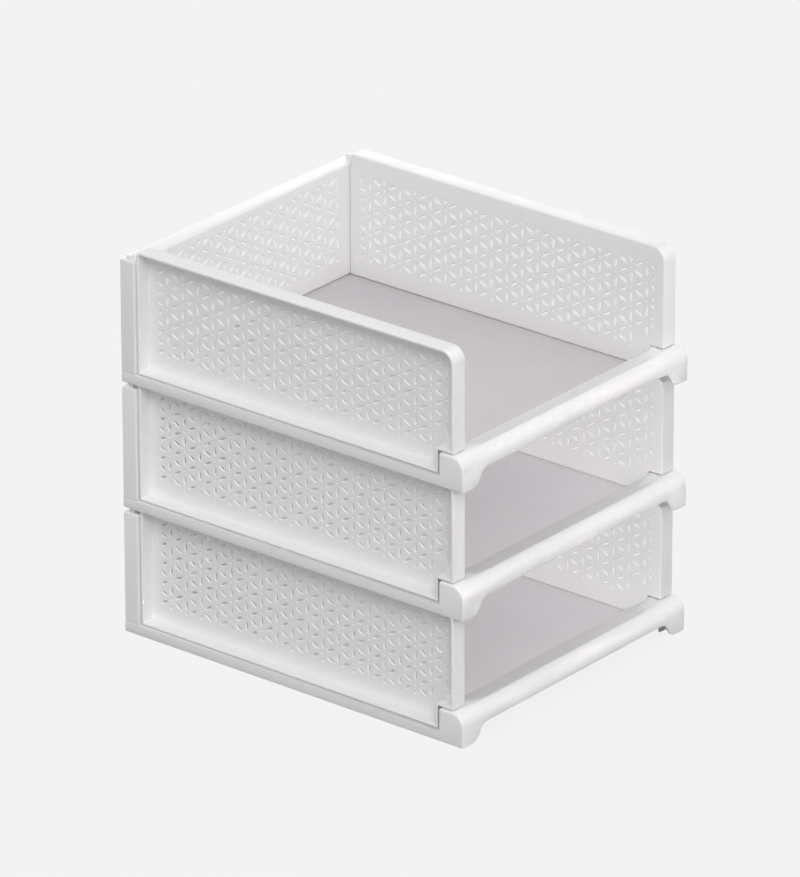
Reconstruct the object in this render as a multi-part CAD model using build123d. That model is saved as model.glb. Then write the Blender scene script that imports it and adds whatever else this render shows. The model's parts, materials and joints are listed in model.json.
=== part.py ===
from build123d import *
import os
from math import atan2, cos, radians, sin, sqrt, tan

# A stack of open-front moulded boxes. Each tier is a base frame with a rounded front bar, a drop-in
# floor panel, two side walls and a back wall with leaf-shaped cut-outs. A tier slides forward on the
# tops of the side walls below it. All sizes in millimetres: +X right, +Y to the rear, +Z up, and the
# origin is on the ground under the middle of the stack.

# Overall
TIER_COUNT = 3
WIDTH = 344.0
DEPTH = 420.0
WALL_HEIGHT = 127.4       # side wall, from its seat on the frame to its top

# How one tier rides on the next
SKIRT_OVERLAP = 6.0       # skirt hanging below the wall tops that it straddles
SLIDE_GAP = 0.3           # runner to wall top
SIDE_GAP = 0.4            # skirt to the wall beside it
STOP_GAP = 0.4            # stop rib to the front edge of the wall below
RAIL_GAP = 1.0            # rear skirt to the inner face of the wall below

# Base frame
SKIRT_THICKNESS = 2.0
RUNNER_HEIGHT = 1.7
RUNNER_WIDTH = 6.0
RUNNER_SETBACK = 11.0     # from the outside of the skirt
LIP_THICKNESS = 1.7       # rebate under the floor panel
LIP_REACH = 8.0
STRAP_COUNT = 2
STRAP_WIDTH = 26.0

# Front bar
BAR_TOP = 33.5
BAR_DEPTH = 58.0          # front face to the foot of the ramp
BAR_CREST = 26.5          # front face to the head of the ramp
BAR_THICKNESS = 2.4
NOSE_RADIUS = 13.0
CREST_RADIUS = 12.0       # rounding between the top of the bar and the ramp
END_CHAMFER = 1.2         # outer edges of the end blocks
BLOCK_DEPTH = 28.8        # end blocks, under the fronts of the side walls
ARCH_HEIGHT = 16.0
ARCH_SWEEP = 24.0         # length of the S-curve beside each foot
FOOT_WIDTH = 14.0

# Floor panel
FLOOR_THICKNESS = 2.2
FLOOR_TUCK = 2.0          # panel edge hidden under the walls
FLOOR_FIT = 0.3           # panel edge to frame
FLOOR_DROP = 0.4          # panel top below the seat of the walls

# Walls
WALL_DEPTH = 18.6         # outer rim to inner face of a side wall
BACK_DEPTH = 17.6         # outer rim to inner face of the back wall
PANEL_THICKNESS = 2.4
RIM_THICKNESS = 3.2
WALL_SETBACK = 14.0       # bar's front face to the front edge of a side wall
FRONT_RADIUS = 14.0
REAR_RADIUS = 6.0
NOTCH_GAP = 1.0           # side wall over the end block
SLOT_GAP = 1.6            # side wall behind the end block
WALL_GAP = 0.4            # side wall to back wall, and to the end of the bar
SEAM_GAP = 0.8            # shadow line under the outer rim of a side wall
SEAM_REACH = 2.0
BACK_CLEARANCE = 5.0      # back wall below the skirt that passes over it
PEG_SIZE = 6.0
PEG_HEIGHT = 3.6
PEG_SETBACK = 7.4         # peg centre from the outside of the back wall's end and rear

# Tongues that hold the walls in the frame and in each other
TONGUE_COUNT = 3
TONGUE_LENGTH = 30.0
TONGUE_THICKNESS = 3.0
TONGUE_SETBACK = 3.2      # from a wall's outer rim
TONGUE_LIFT = 0.5         # tongue's tip above the runners
TONGUE_FIT = 0.25
HOOK_COUNT = 2
HOOK_HEIGHT = 14.0
HOOK_THICKNESS = 4.0
HOOK_REACH = 1.2          # hook's tip past the back panel

# Leaf lattice: one leaf on every edge of a triangular grid
LATTICE_PITCH = 42.6
LEAF_LENGTH = 27.0
LEAF_WIDTH = 9.2
LEAF_DIRECTIONS = (90, 30, -30)
FIELD_LIFT = 19.0         # foot of the lattice above the seat of the walls
FIELD_HEIGHT = 88.0
FIELD_BORDER = 12.0       # plain ends beside the lattice
NOTCH_BORDER = 6.0        # plain strip round the notch

OVERCUT = 1.0             # cutters reach this far past what they cut

# Heights in one tier, from the foot of its skirt
RUNNER_BOTTOM = SKIRT_OVERLAP + SLIDE_GAP
PLATE_BOTTOM = RUNNER_BOTTOM + RUNNER_HEIGHT
LIP_TOP = RUNNER_BOTTOM + LIP_THICKNESS
FLOOR_TOP = LIP_TOP + FLOOR_THICKNESS
SEAT = FLOOR_TOP + FLOOR_DROP
WALL_TOP = SEAT + WALL_HEIGHT
TIER_PITCH = WALL_TOP - SKIRT_OVERLAP
BACK_TOP = TIER_PITCH - BACK_CLEARANCE
NOTCH_BOTTOM = BAR_TOP + NOTCH_GAP

# Places across and along one tier
HALF = WIDTH / 2
FRONT = -DEPTH / 2
REAR = DEPTH / 2
WALL_OUTER = HALF - SKIRT_THICKNESS - SIDE_GAP
WALL_INNER = WALL_OUTER - WALL_DEPTH
BACK_INNER = REAR - BACK_DEPTH
WALL_REAR = BACK_INNER - WALL_GAP
WALL_FRONT = FRONT + WALL_SETBACK
STRIP_FRONT = FRONT + BLOCK_DEPTH + SLOT_GAP
BAR_END = WALL_INNER - WALL_GAP
PANEL_EDGE = WALL_INNER + FLOOR_TUCK
LEDGE_INNER = PANEL_EDGE + FLOOR_FIT
PANEL_REAR = BACK_INNER + FLOOR_TUCK
LEDGE_REAR = PANEL_REAR + FLOOR_FIT
RAMP_FOOT = FRONT + BAR_DEPTH
SIDE_PLANE = Plane.YZ     # its x is the part's Y, its y is the part's Z


def block(x0, x1, y0, y1, z0, z1):
    """A box between two corners."""
    return Pos((x0 + x1) / 2, (y0 + y1) / 2, (z0 + z1) / 2) * Box(x1 - x0, y1 - y0, z1 - z0)


def both_sides(solid):
    """The right-hand solid with its mirror image."""
    return solid + mirror(solid, about=Plane.YZ)


def along_x(face, x0, x1):
    """A side-view face, pulled out from x0 to x1."""
    return extrude(SIDE_PLANE.offset(x0) * face, x1 - x0)


def spread(count, start, end):
    """Middles of count equal shares of a length."""
    share = (end - start) / count
    return [start + share * (i + 0.5) for i in range(count)]


def round_corner(face, place, radius):
    """A flat face with the corner at a place rounded."""
    return fillet(face.vertices().sort_by_distance(place)[0], radius)


def nose_outline(inset, rear_points):
    """Front face, rounded nose and top of the bar, in side view, closed through the rear points."""
    face_y = FRONT + inset
    top = BAR_TOP - inset
    nose_y = FRONT + NOSE_RADIUS
    nose_z = BAR_TOP - NOSE_RADIUS
    foot_z = 0 if inset == 0 else RUNNER_BOTTOM - OVERCUT
    front = Line((face_y, foot_z), (face_y, nose_z))
    nose = RadiusArc((face_y, nose_z), (nose_y, top), NOSE_RADIUS - inset)
    rest = Polyline((nose_y, top), *rear_points, (face_y, foot_z))
    return make_face([front, nose, rest])


def bar_outline():
    """Outside of the bar, with the ramp down to the floor."""
    skin = FRONT + BAR_THICKNESS
    crest = (FRONT + BAR_CREST, BAR_TOP)
    rear_points = [crest, (RAMP_FOOT, SEAT), (RAMP_FOOT, RUNNER_BOTTOM), (skin, RUNNER_BOTTOM), (skin, 0)]
    return round_corner(nose_outline(0, rear_points), crest, CREST_RADIUS)


def bar_hollow():
    """Inside of the bar, one skin thickness in from the outside."""
    slope = atan2(BAR_TOP - SEAT, BAR_DEPTH - BAR_CREST)
    crest = (FRONT + BAR_CREST - BAR_THICKNESS * tan(slope / 2), BAR_TOP - BAR_THICKNESS)
    root = crest[0] + (crest[1] - SEAT) / tan(slope)
    outline = nose_outline(BAR_THICKNESS, [crest, (root, SEAT), (root, RUNNER_BOTTOM - OVERCUT)])
    return round_corner(outline, crest, CREST_RADIUS - BAR_THICKNESS)


def end_outline():
    """Outside of an end block, down to the foot."""
    rear = FRONT + BLOCK_DEPTH
    return nose_outline(0, [(rear, BAR_TOP), (rear, 0)])


def end_hollow():
    """Inside of an end block."""
    rear = FRONT + BLOCK_DEPTH - BAR_THICKNESS
    low = RUNNER_BOTTOM - OVERCUT
    return nose_outline(BAR_THICKNESS, [(rear, BAR_TOP - BAR_THICKNESS), (rear, low)])


def arch_cutter():
    """The grip under the bar: two S-curves, each of two equal arcs, and a flat top between them."""
    foot = HALF - FOOT_WIDTH
    crown = foot - ARCH_SWEEP
    mid = (foot - ARCH_SWEEP / 2, ARCH_HEIGHT / 2)
    lower = TangentArc((foot, 0), mid, tangent=(-1, 0))
    upper = TangentArc((crown, ARCH_HEIGHT), mid, tangent=(1, 0))
    edge = Polyline((crown, ARCH_HEIGHT), (0, ARCH_HEIGHT), (0, -OVERCUT), (foot, -OVERCUT), (foot, 0))
    half = Plane.XZ.offset(-FRONT + OVERCUT) * make_face([lower, upper, edge])
    return both_sides(extrude(half, -(BAR_THICKNESS + 2 * OVERCUT)))


def tongue_places():
    """Middles of the side walls' tongues along Y, and of the back wall's along X."""
    along_side = spread(TONGUE_COUNT, STRIP_FRONT, WALL_REAR)
    along_back = spread(TONGUE_COUNT, -WALL_INNER, WALL_INNER)
    return along_side, along_back


def tongues(fit, z0, z1):
    """Tongues under the right and back walls, or, with a fit added, the sockets for them."""
    along_side, along_back = tongue_places()
    half_length = TONGUE_LENGTH / 2 + fit
    side_outer = WALL_OUTER - TONGUE_SETBACK + fit
    side_inner = WALL_OUTER - TONGUE_SETBACK - TONGUE_THICKNESS - fit
    back_outer = REAR - TONGUE_SETBACK + fit
    back_inner = REAR - TONGUE_SETBACK - TONGUE_THICKNESS - fit
    side = [block(side_inner, side_outer, y - half_length, y + half_length, z0, z1) for y in along_side]
    back = [block(x - half_length, x + half_length, back_inner, back_outer, z0, z1) for x in along_back]
    return side, back


def hooks(fit):
    """Hooks from the rear of the right wall through the back panel, or, with a fit, their slots."""
    middle = (WALL_INNER + WALL_OUTER) / 2
    half_x = HOOK_THICKNESS / 2 + fit
    half_z = HOOK_HEIGHT / 2 + fit
    tip = BACK_INNER + PANEL_THICKNESS + HOOK_REACH
    heights = spread(HOOK_COUNT, SEAT, BACK_TOP)
    return [block(middle - half_x, middle + half_x, WALL_REAR, tip, z - half_z, z + half_z) for z in heights]


def base_frame():
    """Skirts, ledges, runners, floor rebate and the hollow front bar with its feet, in one moulding."""
    bar = along_x(bar_outline(), -BAR_END, BAR_END)
    bar -= along_x(bar_hollow(), -BAR_END + BAR_THICKNESS, BAR_END - BAR_THICKNESS)

    wall_below = WALL_SETBACK + FRONT_RADIUS - sqrt(FRONT_RADIUS**2 - (FRONT_RADIUS - SKIRT_OVERLAP)**2)
    stop_rear = FRONT + wall_below - STOP_GAP
    skirt_inner = HALF - SKIRT_THICKNESS
    block_rear = FRONT + BLOCK_DEPTH
    end = along_x(end_outline(), BAR_END - BAR_THICKNESS, HALF)
    outer_edges = end.faces().sort_by(Axis.X)[-1].edges()
    end = chamfer(outer_edges.sort_by(Axis.Y)[:-1].sort_by(Axis.Z)[1:], END_CHAMFER)
    end -= block(BAR_END - BAR_THICKNESS - OVERCUT, skirt_inner, FRONT + BAR_THICKNESS, block_rear + OVERCUT,
                 -OVERCUT, RUNNER_BOTTOM)
    end -= along_x(end_hollow(), BAR_END, skirt_inner)
    end += block(BAR_END, skirt_inner, stop_rear - BAR_THICKNESS, stop_rear, 0, BAR_TOP - BAR_THICKNESS)

    runner_outer = HALF - RUNNER_SETBACK
    lip_inner = LEDGE_INNER - LIP_REACH
    side = block(skirt_inner, HALF, block_rear, REAR, 0, SEAT)
    side += block(LEDGE_INNER, HALF, block_rear, REAR, PLATE_BOTTOM, SEAT)
    side += block(BAR_END - BAR_THICKNESS, HALF, block_rear - BAR_THICKNESS, RAMP_FOOT, PLATE_BOTTOM, SEAT)
    side += block(runner_outer - RUNNER_WIDTH, runner_outer, block_rear, REAR, RUNNER_BOTTOM, SEAT)
    side += block(LEDGE_INNER, LEDGE_INNER + LIP_THICKNESS, RAMP_FOOT, LEDGE_REAR, RUNNER_BOTTOM, SEAT)
    side += block(lip_inner, LEDGE_INNER, RAMP_FOOT - BAR_THICKNESS, LEDGE_REAR, RUNNER_BOTTOM, LIP_TOP)

    frame = bar + both_sides(end + side) - arch_cutter()
    frame += block(-HALF, HALF, LEDGE_REAR, REAR, PLATE_BOTTOM, SEAT)
    frame += block(-HALF, HALF, REAR - SKIRT_THICKNESS, REAR, RUNNER_BOTTOM, SEAT)
    rail = WALL_INNER - RAIL_GAP
    frame += block(-rail, rail, REAR - SKIRT_THICKNESS, REAR, 0, SEAT)
    frame += block(-LEDGE_INNER, LEDGE_INNER, LEDGE_REAR, LEDGE_REAR + LIP_THICKNESS, RUNNER_BOTTOM, SEAT)
    frame += block(-lip_inner, lip_inner, LEDGE_REAR - LIP_REACH, LEDGE_REAR, RUNNER_BOTTOM, LIP_TOP)
    lip_front = RAMP_FOOT + LIP_REACH
    frame += block(-lip_inner, lip_inner, RAMP_FOOT - BAR_THICKNESS, lip_front, RUNNER_BOTTOM, LIP_TOP)
    for y in spread(STRAP_COUNT, lip_front, LEDGE_REAR - LIP_REACH):
        strap = block(-lip_inner, lip_inner, -STRAP_WIDTH / 2, STRAP_WIDTH / 2, RUNNER_BOTTOM, LIP_TOP)
        frame += Pos(0, y, 0) * strap

    side_sockets, back_sockets = tongues(TONGUE_FIT, -OVERCUT, SEAT + OVERCUT)
    for socket in side_sockets:
        frame -= both_sides(socket)
    for socket in back_sockets:
        frame -= socket
    return frame


def floor_panel():
    """Plate that lies in the frame's rebate, with its sides and rear tucked under the walls."""
    return block(-PANEL_EDGE, PANEL_EDGE, RAMP_FOOT + FLOOR_FIT, PANEL_REAR, LIP_TOP, FLOOR_TOP)


def leaf():
    """One pointed leaf, along its own x."""
    tip, cheek = LEAF_LENGTH / 2, LEAF_WIDTH / 2
    return make_face(Polyline((-tip, 0), (0, -cheek), (tip, 0), (0, cheek), close=True))


def leaf_places(u0, u1, is_plain):
    """Places and directions of the leaves that lie whole in the field from u0 to u1, off its plain corner."""
    v0, v1 = SEAT + FIELD_LIFT, SEAT + FIELD_LIFT + FIELD_HEIGHT
    column = LATTICE_PITCH * cos(radians(30))
    middle_u, middle_v = (u0 + u1) / 2, (v0 + v1) / 2
    columns = int((u1 - u0) / column / 2) + 1
    rows = int((v1 - v0) / LATTICE_PITCH / 2) + 1
    places = []
    for i in range(-columns, columns + 1):
        for j in range(-rows, rows + 1):
            node_u = middle_u + i * column
            node_v = middle_v + (j + (i % 2) / 2) * LATTICE_PITCH
            for direction in LEAF_DIRECTIONS:
                along_u, along_v = cos(radians(direction)), sin(radians(direction))
                u = node_u + along_u * LATTICE_PITCH / 2
                v = node_v + along_v * LATTICE_PITCH / 2
                reach_u = abs(along_u) * LEAF_LENGTH / 2 + abs(along_v) * LEAF_WIDTH / 2
                reach_v = abs(along_v) * LEAF_LENGTH / 2 + abs(along_u) * LEAF_WIDTH / 2
                inside = u0 <= u - reach_u and u + reach_u <= u1 and v0 <= v - reach_v and v + reach_v <= v1
                if inside and not is_plain(u - reach_u, v - reach_v):
                    places.append((u, v, direction))
    return places


def lattice(plane, places):
    """The leaves as one cutter through a panel that starts on the plane."""
    leaves = [plane * Pos(u, v) * Rot(0, 0, direction) * leaf() for u, v, direction in places]
    return extrude(Sketch() + leaves, PANEL_THICKNESS + 2 * OVERCUT)


def right_wall():
    """Side wall: a leaf-cut panel with a deep rim round it, notched over the end block."""
    corners = [(WALL_REAR, SEAT), (STRIP_FRONT, SEAT), (STRIP_FRONT, NOTCH_BOTTOM),
               (WALL_FRONT, NOTCH_BOTTOM), (WALL_FRONT, WALL_TOP), (WALL_REAR, WALL_TOP)]
    outline = make_face(Polyline(*corners, close=True))
    outline = round_corner(outline, (WALL_FRONT, WALL_TOP), FRONT_RADIUS)
    outline = round_corner(outline, (WALL_REAR, WALL_TOP), REAR_RADIUS)
    recess = offset(outline, -RIM_THICKNESS, kind=Kind.INTERSECTION)
    wall = along_x(outline, WALL_INNER, WALL_OUTER)
    wall -= along_x(recess, WALL_INNER + PANEL_THICKNESS, WALL_OUTER + OVERCUT)

    def near_notch(front, bottom):
        return front < STRIP_FRONT + NOTCH_BORDER and bottom < NOTCH_BOTTOM + NOTCH_BORDER

    places = leaf_places(WALL_FRONT + FIELD_BORDER, WALL_REAR - FIELD_BORDER, near_notch)
    wall -= lattice(SIDE_PLANE.offset(WALL_INNER - OVERCUT), places)

    wall -= block(WALL_OUTER - SEAM_REACH, WALL_OUTER + OVERCUT, STRIP_FRONT - OVERCUT, WALL_REAR + OVERCUT,
                  SEAT - OVERCUT, SEAT + SEAM_GAP)
    side_tongues, _ = tongues(0, RUNNER_BOTTOM + TONGUE_LIFT, SEAT)
    for tongue in side_tongues:
        wall += tongue
    for hook in hooks(0):
        wall += hook
    return wall


def back_wall():
    """Back wall: full width, lower than the side walls, with end posts and a peg on each."""
    wall = block(-HALF, HALF, BACK_INNER, REAR, SEAT, BACK_TOP)
    wall -= block(-HALF + RIM_THICKNESS, HALF - RIM_THICKNESS, BACK_INNER + PANEL_THICKNESS, REAR + OVERCUT,
                  SEAT + RIM_THICKNESS, BACK_TOP - RIM_THICKNESS)
    edge = WALL_INNER - FIELD_BORDER
    places = leaf_places(-edge, edge, lambda left, bottom: False)
    facing_rear = Plane(origin=(0, BACK_INNER - OVERCUT, 0), x_dir=(-1, 0, 0), z_dir=(0, 1, 0))
    wall -= lattice(facing_rear, places)
    for slot in hooks(TONGUE_FIT):
        wall -= both_sides(slot)
    _, back_tongues = tongues(0, RUNNER_BOTTOM + TONGUE_LIFT, SEAT)
    for tongue in back_tongues:
        wall += tongue
    peg_x, peg_y = HALF - PEG_SETBACK, REAR - PEG_SETBACK
    half_peg = PEG_SIZE / 2
    peg_top = BACK_TOP + PEG_HEIGHT
    peg = block(peg_x - half_peg, peg_x + half_peg, peg_y - half_peg, peg_y + half_peg, BACK_TOP, peg_top)
    return wall + both_sides(peg)


right = right_wall()
pieces = {
    "base_frame": base_frame(),
    "floor_panel": floor_panel(),
    "left_wall": mirror(right, about=Plane.YZ),
    "right_wall": right,
    "back_wall": back_wall(),
}

os.makedirs("parts", exist_ok=True)
for tier in range(TIER_COUNT):
    for name, solid in pieces.items():
        export_step(Pos(0, 0, tier * TIER_PITCH) * solid, f"parts/tier_{tier + 1}_{name}.step")
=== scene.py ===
import json
import math

import bmesh
import bpy
from mathutils import Matrix, Vector
from mathutils.geometry import delaunay_2d_cdt

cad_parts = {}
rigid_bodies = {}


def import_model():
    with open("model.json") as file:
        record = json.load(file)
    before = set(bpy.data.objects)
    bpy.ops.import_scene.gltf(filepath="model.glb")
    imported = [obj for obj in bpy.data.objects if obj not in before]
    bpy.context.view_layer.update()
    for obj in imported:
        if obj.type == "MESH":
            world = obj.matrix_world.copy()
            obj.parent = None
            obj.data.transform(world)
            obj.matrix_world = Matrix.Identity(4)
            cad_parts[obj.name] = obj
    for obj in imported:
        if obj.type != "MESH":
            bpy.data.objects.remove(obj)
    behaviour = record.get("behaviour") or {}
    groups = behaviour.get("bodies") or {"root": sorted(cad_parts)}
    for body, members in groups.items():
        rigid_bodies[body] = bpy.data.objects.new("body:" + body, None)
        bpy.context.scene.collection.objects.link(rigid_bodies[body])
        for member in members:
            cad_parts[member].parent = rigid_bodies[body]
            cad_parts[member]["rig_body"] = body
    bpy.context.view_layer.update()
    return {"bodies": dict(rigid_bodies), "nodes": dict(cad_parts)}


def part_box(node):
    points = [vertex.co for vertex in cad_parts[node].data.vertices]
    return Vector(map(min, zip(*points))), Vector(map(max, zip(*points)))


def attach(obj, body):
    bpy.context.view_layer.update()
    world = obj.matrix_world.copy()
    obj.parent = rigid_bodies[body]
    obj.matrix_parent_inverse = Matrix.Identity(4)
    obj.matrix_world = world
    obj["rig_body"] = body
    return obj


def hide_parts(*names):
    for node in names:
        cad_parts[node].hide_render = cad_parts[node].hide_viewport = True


# A stack of open-front moulded boxes, in metres. Each wall is rebuilt with its fine leaf lattice and its
# rounded rims; the frames and floors are softened copies of the solids that they stand for.

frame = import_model()

# Walls
PANEL = 0.0024            # leaf-cut skin
RIM = 0.0032              # deep rim round it
RIM_EDGE = 0.0012         # rounding of the rim's outer edges
RIM_ROOT = 0.0008         # hollow rounding at the foot of the rim
COVE_RISE = 0.0016        # the skin's plain border rises to the rim in a shallow cove
COVE_STEPS = 6
COVE_CORNER = 0.003
INNER_EDGE = 0.0014       # rounding of the edges on the inside of the box
FRONT_RADIUS = 0.014
REAR_RADIUS = 0.006
CORNER_RADIUS = 0.0014
LEAST_RADIUS = 0.0003
WALL_GAP = 0.0007         # side wall to back wall
NOTCH_GAP = 0.001         # side wall over the end block of the bar
BLOCK_DEPTH = 0.0288
SLOT_GAP = 0.0042         # mouth of the slot between the end block and a side wall
SLOT_LIP = 0.0012         # outer edge of the wall beside the slot, in front of its rebate
SLOT_REBATE = 0.0022
SLOT_REACH = 0.009        # the rebate ends here, and the slot goes on narrower
SLOT_INNER_GAP = 0.0016
SLOT_AROUND = 0.004
FLOOR_DROP = 0.0004       # floor below the seat of the walls
SEAM_GAP = 0.001          # shadow line under the outer rim of a side wall
SEAM_REACH = 0.004
SEAM_STEP = 0.00005
SIDE_BANDS = {"rear": 0.0085, "top": 0.0115, "front": 0.006, "notch": 0.003, "bottom": 0.0125}
BACK_BANDS = {"side": 0.0045, "top": 0.0008, "bottom": 0.0125}

# Pegs, hooks and tongues
PEG_HEIGHT = 0.0036
PEG_SIZE = 0.006
PEG_SETBACK = 0.0074
HOOK_COUNT = 2
HOOK_HEIGHT = 0.014
HOOK_THICKNESS = 0.004
HOOK_FIT = 0.00025
HOOK_REACH = 0.0012
TONGUE_COUNT = 3
TONGUE_LENGTH = 0.03
TONGUE_THICKNESS = 0.003
TONGUE_SETBACK = 0.0032

# Leaf lattice: a leaf on every edge of a triangular grid and a round hole at every node
ROW = 0.0204
COLUMN = 0.019
ROWS = 4.5
FIELD_LIFT = 0.018        # foot of the lattice above the seat
FIELD_REAR = 0.014        # plain end of a side wall, from the back wall
FIELD_FRONT = 0.0115      # plain end of a side wall, from its front edge
FIELD_SIDE = 0.013        # plain ends of the back wall
FIRST_COLUMN = 0.026      # first upright leaves of a side wall, from the back wall
LEAF_LENGTH = 0.0114
LEAF_WIDTH = 0.0046
LEAF_STEPS = 6
LEAST_LEAF = 0.3          # share of a leaf that is still cut at the border
DOT_RADIUS = 0.0013
DOT_POINTS = 10
FLANK = 0.0016            # a hole narrows by this much on each side, to its waist
FLANK_STEPS = ((0, 0), (0.5, 0.62), (1, 1))
FLANK_DEPTH = 0.00115
LEAST_WAIST = 0.2
NOTCH_BORDER = 0.0075

# Frames and floors
BAR_DEPTH = 0.058         # front face to the foot of the ramp
BAR_CREST = 0.0265        # front face to where the flat top and the ramp would meet
BAR_SKIN = 0.0024
CREST_RADIUS = 0.012
BAR_FALL = math.radians(25)     # between its end blocks the bar falls to the rear in one long slope
FALL_START = 0.011        # from the front face
FALL_CUTS = 12
FALL_BLEND = 0.03         # the slope rises to the end blocks over this length
BLEND_CUTS = 6
FALL_REACH = 0.004        # the bar's skin, inside and outside, lies within this depth
BAR_END_GAP = 0.0004      # end of the bar to the inner face of a side wall
SOFT_EDGE = 0.0005
SOFT_ANGLE = math.radians(40)
SHORT_EDGE = 0.0015
SMOOTH_ANGLE = math.radians(33)
WELD = 1e-6
ARC_STEPS = 5
WIDE_ARC_STEPS = 12

# Plastic
FLECK_SCALE = 750         # fine flecks of tone, per metre
FLECK_SHARE = 0.6

# Camera, stage and light
CAMERA_AZIMUTH = math.radians(-50.832)
CAMERA_ELEVATION = math.radians(23.846)
CAMERA_ROLL = math.radians(-0.087)
CAMERA_DISTANCE = 8.555
CAMERA_LENS = 365.3       # millimetres, on the default sensor
CAMERA_TARGET = Vector((0, 0, 0.201))
CAMERA_RIGHT = -0.0046
CAMERA_UP = 0.0018
STAGE_SIZE = 8.0
STAGE_DROP = 0.0003
STAGE_COLOUR = (0.45, 0.45, 0.45, 1)
STAGE_GLOW = 0.85         # share of the floor that shows the background's own colour
STAGE_GLOW_COLOUR = (1, 1, 1, 1)
BACKGROUND = (0.887, 0.887, 0.887, 1)
SKY_TOWARDS = Vector((-0.1, -0.62, 0.78))     # the brightest part of the sky
SKY_LEAST = 0.43
SKY_MOST = 0.92
# Lamps: direction, energy, softness in degrees, whether it casts shadows, and the ends of the names of the
# nodes that it lights. The fills reach into the tiers, which are as light inside as the open top one.
LAMPS = {
    "outer_lamp": (Vector((-0.52, -0.5, 0.68)), 1.1, 25, True,
                   ("left_wall", "base_frame", "1_back_wall", "2_back_wall")),
    "front_lamp": (Vector((0.01, -1, 0)), 0.42, 3, True, ("left_wall", "right_wall", "base_frame")),
    "back_lamp": (Vector((0.7, 0.7, 0.15)), 0.8, 25, True, ("right_wall", "back_wall")),
    "top_fill": (Vector((-0.6, -0.64, 0.64)), 0.92, 3, False, ("3_right_wall", "3_back_wall", "3_floor_panel")),
    "lower_wall_fill": (Vector((-0.85, -0.1, 0.4)), 1.2, 3, False, ("1_right_wall", "2_right_wall")),
    "lower_floor_fill": (Vector((-0.2, -0.1, 1)), 1.2, 3, False, ("1_floor_panel", "2_floor_panel")),
}

# Places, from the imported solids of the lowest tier
right_low, right_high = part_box("tier_1_right_wall")
back_low, back_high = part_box("tier_1_back_wall")
floor_low, floor_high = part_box("tier_1_floor_panel")
bar_low, bar_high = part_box("tier_1_base_frame")
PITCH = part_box("tier_2_floor_panel")[0].z - floor_low.z
SEAT = floor_high.z + FLOOR_DROP
TONGUE_TIP = right_low.z
WALL_TOP = right_high.z
WALL_INNER = right_low.x
WALL_OUTER = right_high.x
WALL_FRONT = right_low.y
BACK_INNER = back_low.y
WALL_REAR = BACK_INNER - WALL_GAP
STRIP_FRONT = bar_low.y + BLOCK_DEPTH + SLOT_GAP
RAMP_FOOT = bar_low.y + BAR_DEPTH
NOTCH_BOTTOM = bar_high.z + NOTCH_GAP
REAR = back_high.y
HALF = back_high.x
BACK_TOP = back_high.z - PEG_HEIGHT
FIELD_BOTTOM = SEAT + FIELD_LIFT
FIELD_TOP = FIELD_BOTTOM + ROWS * ROW


def arc(centre, radius, start, end, steps=ARC_STEPS):
    """Points on an arc, angles in degrees, both ends included."""
    angles = [math.radians(start + (end - start) * i / steps) for i in range(steps + 1)]
    return [(centre[0] + radius * math.cos(a), centre[1] + radius * math.sin(a)) for a in angles]


def rim_profile(depth):
    """Section of a wall's rim as (inset from the outline, depth from the inner face), foot to inner face."""
    root = arc((RIM + RIM_ROOT, PANEL + COVE_RISE + RIM_ROOT), RIM_ROOT, 270, 180)
    inside = arc((RIM - RIM_EDGE, depth - RIM_EDGE), RIM_EDGE, 0, 90)
    outside = arc((RIM_EDGE, depth - RIM_EDGE), RIM_EDGE, 90, 180)
    steps = [(0, depth - reach - step) for reach in (SLOT_LIP, SEAM_REACH, SLOT_REACH) for step in (0, SEAM_STEP)]
    inner = arc((INNER_EDGE, INNER_EDGE), INNER_EDGE, 180, 270)
    return root + inside + outside + steps + inner


def rounded_loop(corners, insets, least=LEAST_RADIUS):
    """A closed outline of (point, radius, steps) corners, anticlockwise, rounded and moved inwards.

    There is one inset for the edge that arrives at each corner.
    """
    points = []
    for i, (corner, radius, steps) in enumerate(corners):
        before, after = Vector(corners[i - 1][0]), Vector(corners[(i + 1) % len(corners)][0])
        arriving, leaving = (Vector(corner) - before).normalized(), (after - Vector(corner)).normalized()
        normal_in, normal_out = Vector((-arriving.y, arriving.x)), Vector((-leaving.y, leaving.x))
        inset_in, inset_out = insets[i], insets[(i + 1) % len(insets)]
        moved = Vector(corner) + normal_in * inset_in + normal_out * inset_out
        sign = 1 if arriving.cross(leaving) > 0 else -1
        round_radius = max(radius - sign * min(inset_in, inset_out), least)
        centre = moved + (normal_in + normal_out) * round_radius * sign
        for step in range(steps + 1):
            turn = math.pi / 2 * step / steps
            spoke = -(normal_in * math.cos(turn) + normal_out * math.sin(turn)) * sign
            points.append(centre + spoke * round_radius)
    return points


def lens():
    """One leaf along its own first axis, anticlockwise from its tail."""
    half_length, half_width = LEAF_LENGTH / 2, LEAF_WIDTH / 2
    shares = [-math.cos(math.pi * i / LEAF_STEPS) for i in range(LEAF_STEPS + 1)]
    lower = [(s * half_length, -half_width * (1 - s * s)) for s in shares]
    return lower + [(a, -b) for a, b in lower[-2:0:-1]]


def clip(points, low, high):
    """A convex outline cut to a box."""
    for axis in (0, 1):
        for limit, sign in ((low[axis], 1), (high[axis], -1)):
            kept = []
            for i, point in enumerate(points):
                previous = points[i - 1]
                here, there = (point[axis] - limit) * sign, (previous[axis] - limit) * sign
                if here * there < 0:
                    kept.append(previous.lerp(point, there / (there - here)))
                if here >= 0:
                    kept.append(point)
            points = kept
    return points


def area(points):
    """Area inside an outline."""
    return abs(sum(points[i - 1].cross(p) for i, p in enumerate(points))) / 2


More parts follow.
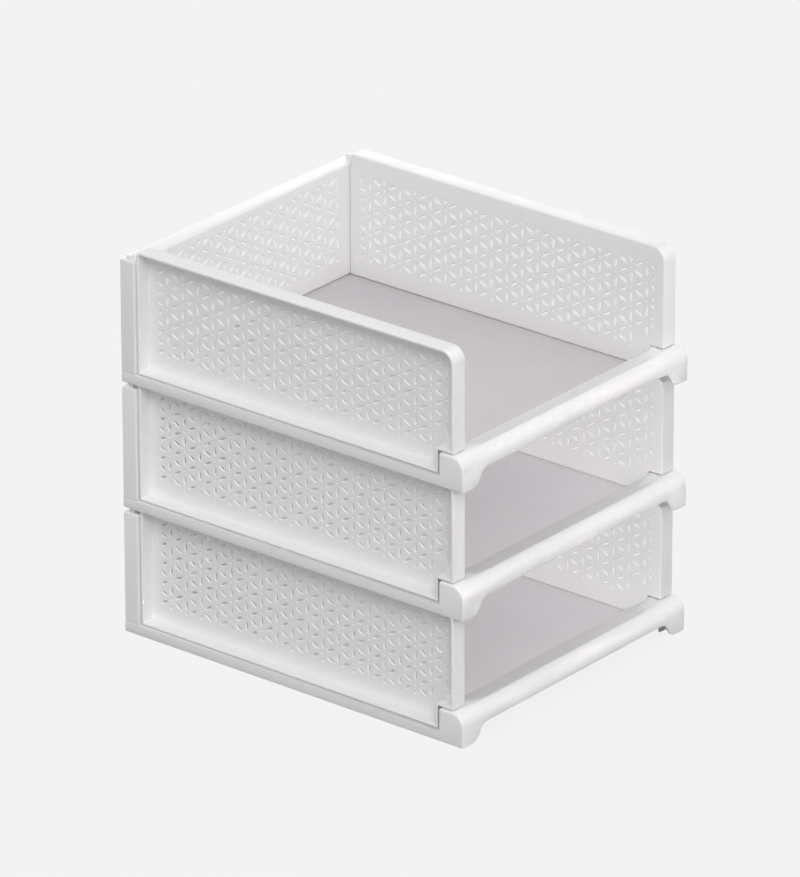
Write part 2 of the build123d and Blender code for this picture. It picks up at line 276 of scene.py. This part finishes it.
def flanks(outline, along):
    """A hole's outline and the narrower outlines down its flank, with their share of the flank's depth."""
    across = Vector((-along.y, along.x))
    local = [(p.dot(along), p.dot(across)) for p in outline]
    rings = []
    for narrowing, sinking in FLANK_STEPS:
        axes = []
        for axis in (0, 1):
            values = [p[axis] for p in local]
            middle, extent = (max(values) + min(values)) / 2, max(values) - min(values)
            scale = max(1 - 2 * FLANK * narrowing / extent, LEAST_WAIST)
            axes.append([middle + (v - middle) * scale for v in values])
        rings.append(([along * a + across * b for a, b in zip(*axes)], sinking))
    return rings


def leaf_hole(centre, along, low, high):
    """A leaf cut to the field, with its flanks, or None."""
    across = Vector((-along.y, along.x))
    whole = [centre + along * a + across * b for a, b in lens()]
    cut = clip(whole, low, high)
    if len(cut) < 3 or area(cut) < LEAST_LEAF * area(whole):
        return None
    return flanks(cut, along)


def dot_hole(centre):
    """A round hole, with its flanks."""
    spokes = [2 * math.pi * i / DOT_POINTS for i in range(DOT_POINTS)]
    outline = [centre + Vector((math.cos(a), math.sin(a))) * DOT_RADIUS for a in spokes]
    return flanks(outline, Vector((1, 0)))


def lattice(first, step, count, low, high, is_plain):
    """Holes of the lattice: columns from first on, step apart, in the field between two corners."""
    holes = []
    for i in range(-1, count + 1):
        for j in range(-1, int(ROWS) + 2):
            node = Vector((first + i * step, low.y + (j + (0.5 if i % 2 == 0 else 0)) * ROW))
            ends = [node + Vector((0, ROW)), node + Vector((step, ROW / 2)), node + Vector((step, -ROW / 2))]
            found = [leaf_hole((node + end) / 2, (end - node).normalized(), low, high) for end in ends]
            if low.x < node.x < high.x and low.y - WELD <= node.y <= high.y + WELD:
                found.append(dot_hole(node))
            holes += [h for h in found if h and not any(is_plain(p) for p in h[0][0])]
    return holes


def add_loop(bm, points, depth, place):
    """A ring of vertices at one depth."""
    return [bm.verts.new(place(p[0], p[1], depth)) for p in points]


def bridge(bm, rings):
    """Quads between neighbouring rings of the same length."""
    for ring_a, ring_b in zip(rings, rings[1:]):
        for i in range(len(ring_a)):
            bm.faces.new((ring_a[i - 1], ring_a[i], ring_b[i], ring_b[i - 1]))


def fill(bm, rings, outlines):
    """Triangles inside the first outline and outside the others, on vertices that are already there."""
    verts = [v for ring in rings for v in ring]
    points = [Vector((p[0], p[1])) * 1000 for outline in outlines for p in outline]
    regions, start = [], 0
    for outline in outlines:
        regions.append(list(range(start, start + len(outline))))
        start += len(outline)
    _, _, faces, origins, _, sources = delaunay_2d_cdt(points, [], regions, 1, 1e-5)
    for face, source in zip(faces, sources):
        if list(source) == [0]:
            bm.faces.new([verts[origins[i][0]] for i in face])


def wall(bm, corners, bands, depth, holes, place, trim=None):
    """A leaf-cut skin with a shallow cove up to its deep rounded rim, from the inner face outwards."""
    loops = []
    for step in range(COVE_STEPS):
        share = step / COVE_STEPS
        insets = [RIM + RIM_ROOT + band * (1 - share) for band in bands]
        least = COVE_CORNER * (1 - share) + LEAST_RADIUS * share
        loops.append((rounded_loop(corners, insets, least), PANEL + COVE_RISE * share**2))
    for inset, level in rim_profile(depth):
        points = rounded_loop(corners, [inset] * len(corners))
        loops.append(([trim(p, depth - level) for p in points] if trim else points, level))
    rings = [add_loop(bm, points, level, place) for points, level in loops]
    bridge(bm, rings)
    near, far, outlines = [rings[-1]], [rings[0]], []
    for hole in holes:
        levels = [(points, sinking * FLANK_DEPTH) for points, sinking in hole]
        levels += [(points, PANEL - sinking * FLANK_DEPTH) for points, sinking in reversed(hole)]
        hole_rings = [add_loop(bm, points, level, place) for points, level in levels]
        bridge(bm, hole_rings)
        near.append(hole_rings[0])
        far.append(hole_rings[-1])
        outlines.append(hole[0][0])
    fill(bm, near, [loops[-1][0]] + outlines)
    fill(bm, far, [loops[0][0]] + outlines)


def soft_block(bm, x_range, y_range, z_range):
    """A small block with rounded edges."""
    low = Vector((min(x_range), min(y_range), min(z_range)))
    high = Vector((max(x_range), max(y_range), max(z_range)))
    place = Matrix.LocRotScale((low + high) / 2, None, high - low)
    made = bmesh.ops.create_cube(bm, size=1, matrix=place)
    edges = list({e for v in made["verts"] for e in v.link_edges})
    bmesh.ops.bevel(bm, geom=edges, offset=SOFT_EDGE, segments=2, profile=0.5, affect="EDGES")


def spread(count, start, end):
    """Middles of count equal shares of a length."""
    share = (end - start) / count
    return [start + share * (i + 0.5) for i in range(count)]


def hook_places(fit):
    """Hooks that hold the right wall in the back wall, as ranges in x and z."""
    middle = (WALL_INNER + WALL_OUTER) / 2
    half_x, half_z = HOOK_THICKNESS / 2 + fit, HOOK_HEIGHT / 2 + fit
    heights = spread(HOOK_COUNT, SEAT, BACK_TOP)
    return [((middle - half_x, middle + half_x), (z - half_z, z + half_z)) for z in heights]


def side_wall(sign):
    """The right wall, or with sign -1 the left one."""
    bm = bmesh.new()
    corners = [((WALL_REAR, WALL_TOP), REAR_RADIUS, WIDE_ARC_STEPS),
               ((WALL_FRONT, WALL_TOP), FRONT_RADIUS, WIDE_ARC_STEPS),
               ((WALL_FRONT, NOTCH_BOTTOM), CORNER_RADIUS, ARC_STEPS),
               ((STRIP_FRONT, NOTCH_BOTTOM), CORNER_RADIUS, ARC_STEPS),
               ((STRIP_FRONT, SEAT), CORNER_RADIUS, ARC_STEPS),
               ((WALL_REAR, SEAT), CORNER_RADIUS, ARC_STEPS)]
    bands = [SIDE_BANDS[name] for name in ("rear", "top", "front", "notch", "notch", "bottom")]
    low = Vector((WALL_FRONT + FIELD_FRONT, FIELD_BOTTOM))
    high = Vector((BACK_INNER - FIELD_REAR, FIELD_TOP))

    def near_notch(point):
        return point[0] < STRIP_FRONT + NOTCH_BORDER and point[1] < NOTCH_BOTTOM + NOTCH_BORDER

    def place(along_y, up, outwards):
        return sign * (WALL_INNER + outwards), along_y, up

    def trim(point, reach):
        along_y, up = point
        if reach < SEAM_REACH + WELD:
            up = max(up, SEAT + SEAM_GAP)
        if SLOT_LIP + WELD < reach < SLOT_REACH + WELD and up < NOTCH_BOTTOM - WELD:
            along_y = max(along_y, STRIP_FRONT + SLOT_REBATE)
        if reach > SLOT_REACH + WELD and abs(along_y - STRIP_FRONT) < SLOT_AROUND and up < NOTCH_BOTTOM + INNER_EDGE + WELD:
            along_y -= SLOT_GAP - SLOT_INNER_GAP
        return Vector((along_y, up))

    first = BACK_INNER - FIRST_COLUMN
    holes = lattice(first, -COLUMN, int((first - low.x) / COLUMN), low, high, near_notch)
    wall(bm, corners, bands, WALL_OUTER - WALL_INNER, holes, place, trim)
    hook_tip = BACK_INNER + PANEL + HOOK_REACH
    for (x0, x1), heights in hook_places(0):
        soft_block(bm, (sign * x0, sign * x1), (WALL_REAR - SOFT_EDGE, hook_tip), heights)
    tongue_outer = WALL_OUTER - TONGUE_SETBACK
    tongue_inner = tongue_outer - TONGUE_THICKNESS
    for y in spread(TONGUE_COUNT, STRIP_FRONT, WALL_REAR):
        soft_block(bm, (sign * tongue_inner, sign * tongue_outer), (y - TONGUE_LENGTH / 2, y + TONGUE_LENGTH / 2),
                   (TONGUE_TIP, SEAT + SOFT_EDGE))
    return bm


def slot_hole(x_range, z_range):
    """A slot for a hook, with its flanks left nearly straight."""
    (x0, x1), (z0, z1) = x_range, z_range
    outline = [Vector(p) for p in ((x0, z0), (x1, z0), (x1, z1), (x0, z1))]
    return [(outline, 0), (outline, 1)]


def back_wall():
    """The full-width back wall, with the slots for the hooks and a peg on each end post."""
    bm = bmesh.new()
    corners = [((HALF, SEAT), CORNER_RADIUS, ARC_STEPS), ((HALF, BACK_TOP), CORNER_RADIUS, ARC_STEPS),
               ((-HALF, BACK_TOP), CORNER_RADIUS, ARC_STEPS), ((-HALF, SEAT), CORNER_RADIUS, ARC_STEPS)]
    bands = [BACK_BANDS[name] for name in ("bottom", "side", "top", "side")]
    edge = WALL_INNER - FIELD_SIDE
    columns = int(edge / COLUMN)
    holes = lattice(-columns * COLUMN, COLUMN, 2 * columns, Vector((-edge, FIELD_BOTTOM)),
                    Vector((edge, FIELD_TOP)), lambda point: False)
    for (x0, x1), heights in hook_places(HOOK_FIT):
        holes.append(slot_hole((x0, x1), heights))
        holes.append(slot_hole((-x1, -x0), heights))

    def place(along_x, up, outwards):
        return along_x, BACK_INNER + outwards, up

    wall(bm, corners, bands, REAR - BACK_INNER, holes, place)
    peg_y = REAR - PEG_SETBACK
    for x in (HALF - PEG_SETBACK, PEG_SETBACK - HALF):
        soft_block(bm, (x - PEG_SIZE / 2, x + PEG_SIZE / 2), (peg_y - PEG_SIZE / 2, peg_y + PEG_SIZE / 2),
                   (BACK_TOP - SOFT_EDGE, BACK_TOP + PEG_HEIGHT))
    tongue_outer = REAR - TONGUE_SETBACK
    for x in spread(TONGUE_COUNT, -WALL_INNER, WALL_INNER):
        soft_block(bm, (x - TONGUE_LENGTH / 2, x + TONGUE_LENGTH / 2), (tongue_outer - TONGUE_THICKNESS, tongue_outer),
                   (TONGUE_TIP, SEAT + SOFT_EDGE))
    return bm


def cut_bar(bm, place, normal):
    """Cuts the faces of the front bar along a plane."""
    faces = [f for f in bm.faces if all(v.co.z > SEAT - WELD and v.co.y < RAMP_FOOT + WELD for v in f.verts)]
    parts = {part for f in faces for part in (*f.verts, *f.edges)}
    bmesh.ops.bisect_plane(bm, geom=faces + list(parts), plane_co=place, plane_no=normal)


def bar_top(y):
    """Height of the bar's top, its crest and its ramp, as packed."""
    slope = math.atan2(bar_high.z - SEAT, BAR_DEPTH - BAR_CREST)
    reach = CREST_RADIUS * math.tan(slope / 2)
    past = y - bar_low.y - BAR_CREST
    if past < -reach:
        return bar_high.z
    if past < reach * math.cos(slope):
        return bar_high.z - CREST_RADIUS + math.sqrt(CREST_RADIUS**2 - (past + reach)**2)
    return bar_high.z - math.tan(slope) * past


def lower_bar(bm):
    """Lets the top of the bar fall to the rear in one long slope, which rises to the end blocks at its ends."""
    steep, gentle = (bar_high.z - SEAT) / (BAR_DEPTH - BAR_CREST), math.tan(BAR_FALL)
    start = bar_low.y + FALL_START
    end = bar_low.y + (steep * BAR_CREST - gentle * FALL_START) / (steep - gentle)
    side = WALL_INNER - BAR_END_GAP - BAR_SKIN
    for i in range(BLEND_CUTS + 1):
        x = side - FALL_BLEND * i / BLEND_CUTS
        cut_bar(bm, (x, 0, 0), (1, 0, 0))
        cut_bar(bm, (-x, 0, 0), (1, 0, 0))
    for i in range(FALL_CUTS + 1):
        cut_bar(bm, (0, start + (end - start) * i / FALL_CUTS, 0), (0, 1, 0))
    for vert in bm.verts:
        x, y, z = vert.co
        if abs(x) < side and start < y < end and z > bar_top(y) - FALL_REACH:
            share = min((side - abs(x)) / FALL_BLEND, 1)
            drop = bar_top(y) - bar_high.z + gentle * (y - start)
            vert.co.z -= max(drop, 0) * share**2 * (3 - 2 * share)


def softened(node, has_bar=False):
    """A copy of a solid with its flat faces merged and its outer edges rounded."""
    bm = bmesh.new()
    bm.from_mesh(frame["nodes"][node].data)
    bmesh.ops.remove_doubles(bm, verts=bm.verts, dist=WELD)
    bmesh.ops.dissolve_limit(bm, angle_limit=math.radians(0.5), verts=bm.verts, edges=bm.edges)
    edges = [e for e in bm.edges if len(e.link_faces) == 2 and e.is_convex
             and e.calc_face_angle() > SOFT_ANGLE and e.calc_length() > SHORT_EDGE]
    bmesh.ops.bevel(bm, geom=edges, offset=SOFT_EDGE, segments=2, profile=0.5, affect="EDGES", clamp_overlap=False)
    if has_bar:
        lower_bar(bm)
    return bm


def tex_noise(nodes, links, coordinates, scale, detail, roughness=0.5):
    """A noise texture in object space, scale in features per metre."""
    noise = nodes.new("ShaderNodeTexNoise")
    noise.inputs["Scale"].default_value = scale
    noise.inputs["Detail"].default_value = detail
    noise.inputs["Roughness"].default_value = roughness
    links.new(coordinates, noise.inputs["Vector"])
    return noise.outputs["Fac"]


def remap(nodes, links, value, low, high):
    """A noise value spread between two numbers."""
    ranged = nodes.new("ShaderNodeMapRange")
    ranged.inputs["From Min"].default_value = 0.3
    ranged.inputs["From Max"].default_value = 0.7
    ranged.inputs["To Min"].default_value = low
    ranged.inputs["To Max"].default_value = high
    links.new(value, ranged.inputs["Value"])
    return ranged.outputs["Result"]


def moulded_plastic(name, pale, deep, roughness, grain, grain_depth):
    """Moulded plastic: slow drifts of tone, uneven gloss and a fine spark-eroded grain."""
    material = bpy.data.materials.new(name)
    material.use_nodes = True
    nodes, links = material.node_tree.nodes, material.node_tree.links
    shader = nodes["Principled BSDF"]
    coordinates = nodes.new("ShaderNodeTexCoord").outputs["Object"]
    drift = remap(nodes, links, tex_noise(nodes, links, coordinates, 14, 3), 0, 1)
    fleck = remap(nodes, links, tex_noise(nodes, links, coordinates, FLECK_SCALE, 2), 0, 1)
    tone = nodes.new("ShaderNodeMix")
    tone.inputs["Factor"].default_value = FLECK_SHARE
    links.new(drift, tone.inputs["A"])
    links.new(fleck, tone.inputs["B"])
    mix = nodes.new("ShaderNodeMix")
    mix.data_type = "RGBA"
    mix.inputs["A"].default_value = (*deep, 1)
    mix.inputs["B"].default_value = (*pale, 1)
    links.new(tone.outputs["Result"], mix.inputs["Factor"])
    links.new(mix.outputs["Result"], shader.inputs["Base Color"])
    gloss = tex_noise(nodes, links, coordinates, 60, 4)
    links.new(remap(nodes, links, gloss, roughness - 0.05, roughness + 0.06), shader.inputs["Roughness"])
    bump = nodes.new("ShaderNodeBump")
    bump.inputs["Strength"].default_value = 0.35
    bump.inputs["Distance"].default_value = grain_depth
    links.new(tex_noise(nodes, links, coordinates, grain, 2, 0.6), bump.inputs["Height"])
    links.new(bump.outputs["Normal"], shader.inputs["Normal"])
    return material


def add_piece(name, bm, node, lift, material, material_slot):
    """A finished mesh in place of a CAD node, riding on that node's body."""
    mesh = bpy.data.meshes.new(name)
    bm.to_mesh(mesh)
    mesh.transform(Matrix.Translation((0, 0, lift)))
    mesh.shade_smooth()
    mesh.set_sharp_from_angle(angle=SMOOTH_ANGLE)
    mesh.materials.append(material)
    piece = bpy.data.objects.new(name, mesh)
    bpy.context.scene.collection.objects.link(piece)
    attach(piece, frame["nodes"][node]["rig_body"])
    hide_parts(node)
    return piece


white = moulded_plastic("white_moulding", (0.875, 0.868, 0.876), (0.85, 0.842, 0.85), 0.42, 2600, 0.00004)
grey = moulded_plastic("floor_moulding", (0.675, 0.647, 0.665), (0.615, 0.587, 0.605), 0.6, 1500, 0.00008)
shapes = {
    "left_wall": (side_wall(-1), white, "white_plastic"),
    "right_wall": (side_wall(1), white, "white_plastic"),
    "back_wall": (back_wall(), white, "white_plastic"),
    "base_frame": (softened("tier_1_base_frame", has_bar=True), white, "white_plastic"),
    "floor_panel": (softened("tier_1_floor_panel"), grey, "floor_plastic"),
}
for bm, _, _ in shapes.values():
    bmesh.ops.recalc_face_normals(bm, faces=bm.faces)
pieces = {}
for tier in range(len(frame["bodies"])):
    for part, (bm, material, material_slot) in shapes.items():
        node = f"tier_{tier + 1}_{part}"
        pieces[node] = add_piece(f"{node}_moulding", bm, node, tier * PITCH, material, material_slot)


def seen_directly(nodes, links):
    """1 for rays that show the background itself: straight to the camera, mirrored or through glass."""
    path = nodes.new("ShaderNodeLightPath")
    value = path.outputs["Is Camera Ray"]
    for name in ("Is Glossy Ray", "Is Transmission Ray"):
        either = nodes.new("ShaderNodeMath")
        either.operation = "MAXIMUM"
        links.new(value, either.inputs[0])
        links.new(path.outputs[name], either.inputs[1])
        value = either.outputs[0]
    return value


def add_stage():
    """A pale floor that keeps a soft share of the shadow."""
    mesh = bpy.data.meshes.new("stage_floor")
    half = STAGE_SIZE / 2
    mesh.from_pydata([(-half, -half, -STAGE_DROP), (half, -half, -STAGE_DROP), (half, half, -STAGE_DROP),
                      (-half, half, -STAGE_DROP)], [], [(0, 1, 2, 3)])
    floor = bpy.data.objects.new("stage_floor", mesh)
    bpy.context.scene.collection.objects.link(floor)
    material = bpy.data.materials.new("stage_floor")
    material.use_nodes = True
    nodes, links = material.node_tree.nodes, material.node_tree.links
    shader = nodes["Principled BSDF"]
    shader.inputs["Base Color"].default_value = STAGE_COLOUR
    shader.inputs["Roughness"].default_value = 0.9
    shader.inputs["Specular IOR Level"].default_value = 0
    glow = nodes.new("ShaderNodeEmission")
    glow.inputs["Color"].default_value = STAGE_GLOW_COLOUR
    share = nodes.new("ShaderNodeMath")
    share.operation = "MULTIPLY"
    share.inputs[1].default_value = STAGE_GLOW
    links.new(seen_directly(nodes, links), share.inputs[0])
    mix = nodes.new("ShaderNodeMixShader")
    links.new(share.outputs[0], mix.inputs["Fac"])
    links.new(shader.outputs["BSDF"], mix.inputs[1])
    links.new(glow.outputs["Emission"], mix.inputs[2])
    links.new(mix.outputs["Shader"], nodes["Material Output"].inputs["Surface"])
    mesh.materials.append(material)


def add_sky():
    """Soft light all round, brightest from the front and above; the camera sees the plain background instead."""
    world = bpy.data.worlds.new("studio")
    bpy.context.scene.world = world
    world.use_nodes = True
    nodes, links = world.node_tree.nodes, world.node_tree.links
    sky = nodes["Background"]
    sky.inputs["Color"].default_value = (1, 1, 1, 1)
    towards = nodes.new("ShaderNodeVectorMath")
    towards.operation = "DOT_PRODUCT"
    towards.inputs[1].default_value = SKY_TOWARDS
    links.new(nodes.new("ShaderNodeTexCoord").outputs["Generated"], towards.inputs[0])
    rise = nodes.new("ShaderNodeMapRange")
    rise.inputs["To Min"].default_value = SKY_LEAST
    rise.inputs["To Max"].default_value = SKY_MOST
    links.new(towards.outputs["Value"], rise.inputs["Value"])
    links.new(rise.outputs["Result"], sky.inputs["Strength"])
    plain = nodes.new("ShaderNodeBackground")
    plain.inputs["Color"].default_value = BACKGROUND
    mix = nodes.new("ShaderNodeMixShader")
    links.new(seen_directly(nodes, links), mix.inputs["Fac"])
    links.new(sky.outputs["Background"], mix.inputs[1])
    links.new(plain.outputs["Background"], mix.inputs[2])
    links.new(mix.outputs["Shader"], nodes["World Output"].inputs["Surface"])


def add_lamp(name, towards, energy, softness, has_shadow, lit):
    """A far lamp that lights only the nodes whose names end in one of the given ways."""
    lamp = bpy.data.lights.new(name, "SUN")
    lamp.energy = energy
    lamp.angle = math.radians(softness)
    lamp.use_shadow = has_shadow
    receivers = bpy.data.collections.new(f"{name}_receivers")
    for node, piece in pieces.items():
        if node.endswith(lit):
            receivers.objects.link(piece)
    holder = bpy.data.objects.new(name, lamp)
    holder.rotation_mode = "QUATERNION"
    holder.rotation_quaternion = towards.to_track_quat("Z", "Y")
    holder.light_linking.receiver_collection = receivers
    bpy.context.scene.collection.objects.link(holder)


def add_camera():
    """The photograph's viewing angle."""
    a, e = CAMERA_AZIMUTH, CAMERA_ELEVATION
    back = Vector((math.sin(a) * math.cos(e), -math.cos(a) * math.cos(e), math.sin(e)))
    level_right = Vector((math.cos(a), math.sin(a), 0))
    level_up = back.cross(level_right)
    right = level_right * math.cos(CAMERA_ROLL) + level_up * math.sin(CAMERA_ROLL)
    up = back.cross(right)
    camera = bpy.data.objects.new("camera", bpy.data.cameras.new("camera"))
    camera.data.lens = CAMERA_LENS
    camera.data.clip_end = 100
    turn = Matrix((right, up, back)).transposed()
    place = CAMERA_TARGET + back * CAMERA_DISTANCE + right * CAMERA_RIGHT + up * CAMERA_UP
    camera.matrix_world = Matrix.Translation(place) @ turn.to_4x4()
    bpy.context.scene.collection.objects.link(camera)
    bpy.context.scene.camera = camera


add_stage()
add_sky()
for lamp_name, lamp_settings in LAMPS.items():
    add_lamp(lamp_name, *lamp_settings)
add_camera()
bpy.context.scene.view_settings.view_transform = "Standard"
